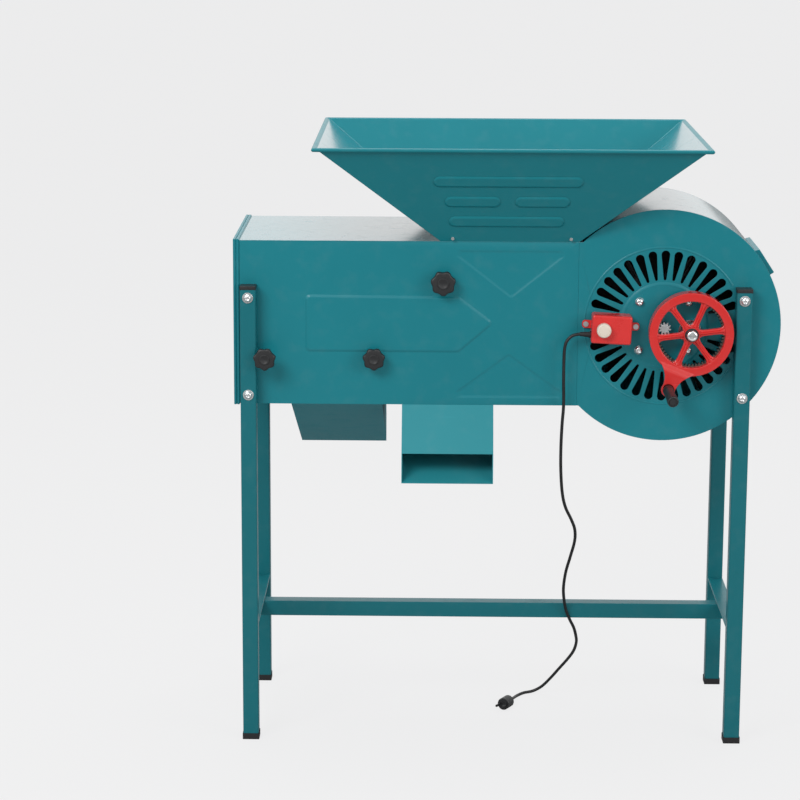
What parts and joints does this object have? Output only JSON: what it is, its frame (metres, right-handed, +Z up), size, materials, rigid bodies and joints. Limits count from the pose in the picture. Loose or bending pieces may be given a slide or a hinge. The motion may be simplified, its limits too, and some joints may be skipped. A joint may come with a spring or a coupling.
{
  "type": "grain winnowing machine",
  "caption": "Sheet-steel grain winnower on a tube stand: hopper, fan drum with a geared crank wheel and motor, flaps, chutes, switch box and mains cord.",
  "frame": {"origin": "on the floor under the middle of the machine's outline", "axes": "+X from the outlet end to the drum end, +Y from the crank side to the back, +Z up"},
  "size_m": [1.0336, 0.6206, 1.156],
  "materials": {
    "teal_paint": "satin paint",
    "leg_paint": "satin paint",
    "red_paint": "gloss paint",
    "red_plastic": "moulded",
    "zinc": "zinc plated",
    "steel": "plain",
    "black_plastic": "moulded",
    "black_metal": "matt paint",
    "cream_plastic": "moulded",
    "rubber": "moulded"
  },
  "bodies": {
    "machine": {"front_panel": "teal_paint", "back_panel": "teal_paint", "lid_sheet": "teal_paint", "floor_sheet": "teal_paint", "outlet_rim": "teal_paint", "hopper_front": "teal_paint", "hopper_back": "teal_paint", "hopper_left": "teal_paint", "hopper_right": "teal_paint", "feed_wall": "teal_paint", "feed_floor": "teal_paint", "divider_board": "teal_paint", "tail_board": "teal_paint", "front_chute": "teal_paint", "back_chute": "teal_paint", "drum_front_plate": "teal_paint", "drum_back_plate": "teal_paint", "drum_wrap": "teal_paint", "drum_hatch": "teal_paint", "leg_front_left": "leg_paint", "leg_front_right": "leg_paint", "leg_back_left": "leg_paint", "leg_back_right": "leg_paint", "side_rail_left": "leg_paint", "side_rail_right": "leg_paint", "long_bar": "leg_paint", "hopper_rivets": "zinc", "leg_bolts": "zinc", "leg_nuts": "zinc", "rail_bolts": "zinc", "motor_bolts": "zinc", "bearing_bolts": "zinc", "crank_nut": "zinc", "switch_screws": "zinc", "back_bearing": "steel", "crank_stud": "steel", "leg_plugs": "black_plastic", "plug": "black_plastic", "switch_box": "red_plastic", "motor": "black_metal", "leg_feet": "rubber", "strain_relief": "rubber", "cord": "rubber"},
    "crank": {"crank_wheel": "red_paint", "ring_gear": "zinc", "grip_bolt": "zinc"},
    "grip": {"crank_grip": "black_plastic"},
    "fan": {"fan_shaft": "steel", "fan_pinion": "zinc", "fan_spiders": "steel", "fan_blades": "steel"},
    "dial": {"speed_knob": "cream_plastic"},
    "gate": {"feed_gate": "steel", "feed_gate_knob": "black_plastic"},
    "divider": {"divider_flap": "steel", "divider_knob": "black_plastic"},
    "tail": {"tail_flap": "steel", "tail_knob": "black_plastic"}
  },
  "joints": [
    {"name": "fan_spin", "type": "hinge", "parent": "machine", "child": "fan", "pos_m": [0.29221, 0.02025, 0.812], "axis": [0, 1, 0], "continuous": true},
    {"name": "crank_turn", "type": "hinge", "parent": "machine", "child": "crank", "pos_m": [0.34137, -0.17975, 0.80289], "axis": [0, 1, 0], "continuous": true},
    {"name": "grip_turn", "type": "hinge", "parent": "crank", "child": "grip", "pos_m": [0.29941, -0.24975, 0.69904], "axis": [0, 1, 0], "continuous": true},
    {"name": "dial_turn", "type": "hinge", "parent": "machine", "child": "dial", "pos_m": [0.17773, -0.19975, 0.81126], "axis": [0, 1, 0], "range_deg": [0, 270]},
    {"name": "gate_turn", "type": "hinge", "parent": "machine", "child": "gate", "pos_m": [-0.12239, 0.02025, 0.8935], "axis": [0, 1, 0], "range_deg": [0, 55]},
    {"name": "divider_turn", "type": "hinge", "parent": "machine", "child": "divider", "pos_m": [-0.25179, 0.02025, 0.7485], "axis": [0, 1, 0], "range_deg": [-35, 35]},
    {"name": "tail_turn", "type": "hinge", "parent": "machine", "child": "tail", "pos_m": [-0.45609, 0.02025, 0.751], "axis": [0, 1, 0], "range_deg": [-35, 35]}
  ],
  "couplings": [
    {"joint": "crank_turn", "follows": "fan_spin", "ratio": 0.16667}
  ]
}
